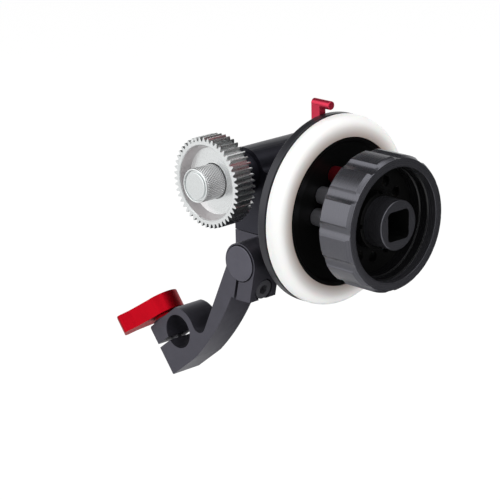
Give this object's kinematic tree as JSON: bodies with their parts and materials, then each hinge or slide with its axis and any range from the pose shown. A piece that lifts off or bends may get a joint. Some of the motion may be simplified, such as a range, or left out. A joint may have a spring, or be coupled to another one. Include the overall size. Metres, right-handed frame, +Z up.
{
  "type": "follow focus unit",
  "caption": "Rod-mounted follow focus: a swing arm clamps a round rod and carries a right-angle gearbox with a fluted handwheel, marking disc and drive gear.",
  "frame": {"origin": "centre of the rod clamp's bore", "axes": "+Y along the rod, away from the drive gear's side; +X along the handwheel's axis, towards the operator; +Z up"},
  "size_m": [0.1287, 0.0868, 0.1267],
  "materials": {
    "black_anodised": "black anodised, fine satin",
    "grey_anodised": "black anodised, bead blasted",
    "silver_anodised": "clear anodised, satin",
    "red_anodised": "red anodised, satin",
    "steel": "turned steel",
    "black_steel": "blackened steel",
    "bronze": "sintered bronze",
    "white_plastic": "smooth white, semi-gloss"
  },
  "bodies": {
    "arm": {"swing_arm": "grey_anodised", "clamp_washer": "black_anodised", "friction_screw": "black_steel"},
    "lever": {"clamp_lever": "red_anodised", "clamp_screw": "black_steel"},
    "gearbox": {"gearbox_housing": "black_anodised", "rear_cover": "black_anodised", "cover_screws": "black_steel", "pivot_bracket": "grey_anodised", "bracket_screws": "black_steel", "pivot_bolt": "grey_anodised", "pivot_washer": "black_anodised", "drive_shaft_bushes": "bronze", "lay_shaft_bushes": "bronze", "wheel_shaft_bushes": "bronze", "retaining_ring": "black_steel", "ring_screws": "black_steel"},
    "index": {"index_plate": "black_anodised", "index_pointer": "red_anodised", "pointer_screw": "black_steel"},
    "wheel": {"wheel_shaft": "steel", "wheel_bevel_gear": "steel", "hub_flange": "black_anodised", "hub_cross_pin": "steel", "marking_disc": "white_plastic", "disc_screws": "steel", "stop_posts": "silver_anodised", "release_post": "red_anodised", "handwheel": "black_anodised", "wheel_nut": "black_anodised", "drive_sleeve": "black_anodised", "sleeve_screw": "black_steel"},
    "lay": {"lay_shaft": "steel", "lay_spur_gear": "steel", "lay_bevel_gear": "steel"},
    "drive": {"drive_shaft": "steel", "drive_spur_gear": "steel", "drive_gear": "silver_anodised"},
    "thumb": {"thumb_screw": "silver_anodised"}
  },
  "joints": [
    {"name": "lever_turn", "type": "hinge", "parent": "arm", "child": "lever", "pos_m": [-0.00926, 0, -0.00715], "axis": [-0.6115, 0, 0.7912], "range_deg": [0, 150]},
    {"name": "gearbox_tilt", "type": "hinge", "parent": "arm", "child": "gearbox", "pos_m": [0.04, 0, 0.0395], "axis": [0, 1, 0], "range_deg": [-40, 40]},
    {"name": "index_turn", "type": "hinge", "parent": "gearbox", "child": "index", "pos_m": [0.057, 0.0285, 0.0593], "axis": [1, 0, 0], "range_deg": [-60, 60]},
    {"name": "wheel_spin", "type": "hinge", "parent": "gearbox", "child": "wheel", "pos_m": [0.057, 0.0285, 0.0593], "axis": [1, 0, 0], "continuous": true},
    {"name": "lay_spin", "type": "hinge", "parent": "gearbox", "child": "lay", "pos_m": [0.03085, 0.03, 0.0593], "axis": [0, 1, 0], "continuous": true},
    {"name": "gear_spin", "type": "hinge", "parent": "gearbox", "child": "drive", "pos_m": [0.0175, 0.01, 0.0695], "axis": [0, 1, 0], "continuous": true},
    {"name": "thumb_turn", "type": "hinge", "parent": "drive", "child": "thumb", "pos_m": [0.0175, 0, 0.0695], "axis": [0, 1, 0], "range_deg": [-360, 0]}
  ],
  "couplings": [
    {"joint": "lay_spin", "follows": "wheel_spin", "ratio": -1},
    {"joint": "gear_spin", "follows": "wheel_spin", "ratio": 1}
  ]
}
